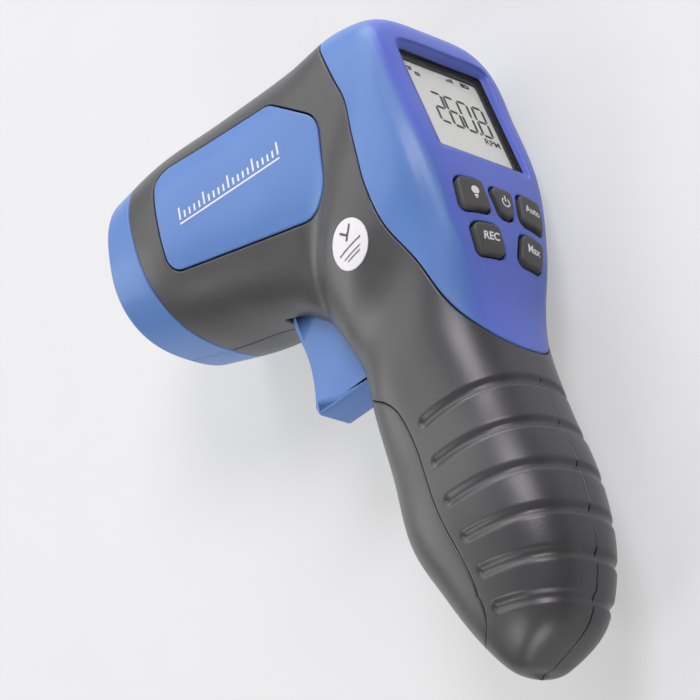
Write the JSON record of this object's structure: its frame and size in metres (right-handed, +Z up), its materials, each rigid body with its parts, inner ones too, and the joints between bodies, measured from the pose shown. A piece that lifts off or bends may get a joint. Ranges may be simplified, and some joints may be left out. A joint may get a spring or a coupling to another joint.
{
  "type": "laser tachometer",
  "caption": "Pistol-grip laser tachometer with a rear display, rubber keys, finger trigger and hinged battery door; lies on its side.",
  "frame": {"origin": "middle of the bounding box in X and Y, on the surface the part lies on", "axes": "-X towards the nose, +Y from the grip to the top of the barrel, +Z up, out of the left side of the case"},
  "size_m": [0.1226, 0.1784, 0.0515],
  "materials": {
    "case_plastic": "satin",
    "blue_paint": "satin",
    "key_rubber": "matte",
    "black_plastic": "matte",
    "lens_glass": "clear",
    "clear_plastic": "clear",
    "display_glass": "satin",
    "white_plastic": "matte",
    "board_laminate": "satin",
    "steel": "satin",
    "brass_body": "satin",
    "battery_jacket": "satin",
    "paper": "matte"
  },
  "bodies": {
    "case": {"left_shell": "case_plastic", "right_shell": "case_plastic", "nose_ring": "blue_paint", "front_plate": "black_plastic", "receiver_lens": "lens_glass", "lens_tube": "black_plastic", "photo_sensor": "steel", "sensor_board": "board_laminate", "laser_module": "brass_body", "rear_bezel": "blue_paint", "display_window": "clear_plastic", "lcd_frame": "black_plastic", "lcd_panel": "display_glass", "lcd_backlight": "white_plastic", "main_board": "board_laminate", "board_chips": "black_plastic", "board_screws": "steel", "keypad_mat": "key_rubber", "trigger_pin": "steel", "trigger_spring": "steel", "trigger_switch": "black_plastic", "battery_tray": "black_plastic", "battery": "battery_jacket", "battery_snap": "black_plastic", "case_screws": "steel", "label_left": "blue_paint", "label_right": "blue_paint", "check_sticker": "paper"},
    "trigger_lever": {"trigger": "blue_paint"},
    "door": {"battery_door": "case_plastic"},
    "key_lamp_top": {"key_lamp": "key_rubber"},
    "key_power_top": {"key_power": "key_rubber"},
    "key_auto_top": {"key_auto": "key_rubber"},
    "key_record_top": {"key_record": "key_rubber"},
    "key_max_top": {"key_max": "key_rubber"}
  },
  "joints": [
    {"name": "trigger_pull", "type": "hinge", "parent": "case", "child": "trigger_lever", "pos_m": [-0.01031, 0.03304, 0.02575], "axis": [0, 0, 1], "range_deg": [0, 7], "stiffness_Nm_per_rad": 0.12, "springref_deg": -6.88, "deforming": ["trigger_spring"]},
    {"name": "battery_door_swing", "type": "hinge", "parent": "case", "child": "door", "pos_m": [0.03028, -0.07325, 0.02575], "axis": [0, 0, 1], "range_deg": [0, 48]},
    {"name": "key_lamp_press", "type": "slide", "parent": "case", "child": "key_lamp_top", "axis": [-0.9659, -0.2588, 0], "range_m": [0, 0.0005], "stiffness_N_per_m": 1500, "springref_m": -0.0006},
    {"name": "key_power_press", "type": "slide", "parent": "case", "child": "key_power_top", "axis": [-0.9659, -0.2588, 0], "range_m": [0, 0.0005], "stiffness_N_per_m": 1500, "springref_m": -0.0006},
    {"name": "key_auto_press", "type": "slide", "parent": "case", "child": "key_auto_top", "axis": [-0.9659, -0.2588, 0], "range_m": [0, 0.0005], "stiffness_N_per_m": 1500, "springref_m": -0.0006},
    {"name": "key_record_press", "type": "slide", "parent": "case", "child": "key_record_top", "axis": [-0.9659, -0.2588, 0], "range_m": [0, 0.0005], "stiffness_N_per_m": 1500, "springref_m": -0.0006},
    {"name": "key_max_press", "type": "slide", "parent": "case", "child": "key_max_top", "axis": [-0.9659, -0.2588, 0], "range_m": [0, 0.0005], "stiffness_N_per_m": 1500, "springref_m": -0.0006}
  ]
}
